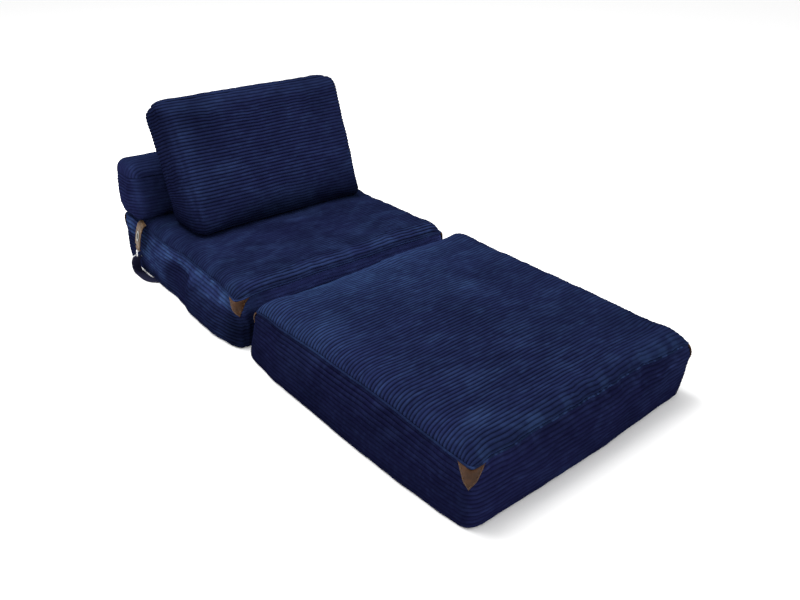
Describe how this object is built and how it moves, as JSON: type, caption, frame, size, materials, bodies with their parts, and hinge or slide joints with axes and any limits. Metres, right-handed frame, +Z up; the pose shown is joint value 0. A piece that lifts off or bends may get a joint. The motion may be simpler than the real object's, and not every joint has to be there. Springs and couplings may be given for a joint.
{
  "type": "convertible chair bed",
  "caption": "Fold-out chair bed: foam sections hinged at floor level, fold-back bolster, loose back pillow and side straps with snap hooks, in ribbed corduroy.",
  "frame": {"origin": "centre of the whole object's footprint at floor level, in the flat bed form", "axes": "+X to the right seen from the foot end, +Y from the foot end to the head end, +Z up"},
  "size_m": [0.892, 1.716, 0.5897],
  "materials": {
    "corduroy": "wide-wale corduroy, brushed",
    "lining": "plain woven lining",
    "foam": "open-cell foam",
    "pillow_fill": "loose fibre",
    "patch_leather": "satin",
    "strap_leather": "satin",
    "hook_steel": "satin",
    "webbing": "flat woven webbing",
    "zip_tape": "woven tape",
    "zip_teeth": "matte",
    "zip_metal": "satin"
  },
  "bodies": {
    "seat": {"seat_top_panel": "corduroy", "seat_side_band": "corduroy", "seat_base_panel": "lining", "seat_foam_block": "foam", "seat_corner_patches": "patch_leather", "fold_hinge_seat_side": "lining", "bolster_hinge_seat_side": "corduroy", "seat_zip_tapes": "zip_tape", "seat_zip_teeth": "zip_teeth", "left_hook_swivel_ring": "hook_steel", "right_hook_swivel_ring": "hook_steel", "left_strap_d_ring": "hook_steel", "right_strap_d_ring": "hook_steel", "left_strap_eyelet": "hook_steel", "right_strap_eyelet": "hook_steel", "left_strap_tab": "strap_leather", "right_strap_tab": "strap_leather", "left_webbing": "webbing", "right_webbing": "webbing"},
    "foot": {"foot_top_panel": "corduroy", "foot_side_band": "corduroy", "foot_base_panel": "lining", "foot_foam_block": "foam", "foot_corner_patches": "patch_leather", "fold_hinge_foot_side": "lining", "foot_zip_tapes": "zip_tape", "foot_zip_teeth": "zip_teeth"},
    "bolster": {"bolster_top_panel": "corduroy", "bolster_side_band": "corduroy", "bolster_base_panel": "lining", "bolster_foam_block": "foam", "bolster_hinge_bolster_side": "corduroy", "bolster_zip_tapes": "zip_tape", "bolster_zip_teeth": "zip_teeth"},
    "pillow": {"pillow_front_panel": "corduroy", "pillow_side_band": "corduroy", "pillow_back_panel": "corduroy", "pillow_fill": "pillow_fill", "pillow_zip_tapes": "zip_tape", "pillow_zip_teeth": "zip_teeth"},
    "left_hook": {"left_hook_body": "hook_steel", "left_hook_gate_pin": "hook_steel"},
    "left_gate": {"left_hook_gate": "hook_steel"},
    "right_hook": {"right_hook_body": "hook_steel", "right_hook_gate_pin": "hook_steel"},
    "right_gate": {"right_hook_gate": "hook_steel"},
    "foot_zip_slider": {"foot_zip_slider": "zip_metal"},
    "seat_zip_slider": {"seat_zip_slider": "zip_metal"},
    "bolster_zip_slider": {"bolster_zip_slider": "zip_metal"},
    "pillow_zip_slider": {"pillow_zip_slider": "zip_metal"}
  },
  "joints": [
    {"name": "foot_fold", "type": "hinge", "parent": "seat", "child": "foot", "pos_m": [0, 0.054, -0.0005], "axis": [1, 0, 0], "range_deg": [0, 180]},
    {"name": "bolster_fold", "type": "hinge", "parent": "seat", "child": "bolster", "pos_m": [0, 0.857, 0.19], "axis": [1, 0, 0], "range_deg": [-180, 0]},
    {"name": "pillow_lift", "type": "slide", "parent": "seat", "child": "pillow", "axis": [0, 0, 1], "range_m": [0, 0.5]},
    {"name": "left_hook_swivel", "type": "hinge", "parent": "seat", "child": "left_hook", "pos_m": [-0.42627, 0.71565, 0.08978], "axis": [-0.0304, 0.406, -0.9134], "range_deg": [-15, 15]},
    {"name": "left_gate_open", "type": "hinge", "parent": "left_hook", "child": "left_gate", "pos_m": [-0.42598, 0.72176, 0.08176], "axis": [-0.9686, 0.2136, 0.1272], "range_deg": [0, 25], "stiffness_Nm_per_rad": 0.0005, "springref_deg": -14.32},
    {"name": "right_hook_swivel", "type": "hinge", "parent": "seat", "child": "right_hook", "pos_m": [0.42627, 0.71565, 0.08978], "axis": [0.0304, 0.406, -0.9134], "range_deg": [-15, 15]},
    {"name": "right_gate_open", "type": "hinge", "parent": "right_hook", "child": "right_gate", "pos_m": [0.42598, 0.72176, 0.08176], "axis": [0.9686, 0.2136, 0.1272], "range_deg": [-25, 0], "stiffness_Nm_per_rad": 0.0005, "springref_deg": 14.32},
    {"name": "foot_zip_run", "type": "slide", "parent": "foot", "child": "foot_zip_slider", "axis": [1, 0, 0], "range_m": [0, 0.58]},
    {"name": "seat_zip_run", "type": "slide", "parent": "seat", "child": "seat_zip_slider", "axis": [1, 0, 0], "range_m": [0, 0.58]},
    {"name": "bolster_zip_run", "type": "slide", "parent": "bolster", "child": "bolster_zip_slider", "axis": [1, 0, 0], "range_m": [0, 0.56]},
    {"name": "pillow_zip_run", "type": "slide", "parent": "pillow", "child": "pillow_zip_slider", "axis": [1, 0, 0], "range_m": [0, 0.4]}
  ]
}
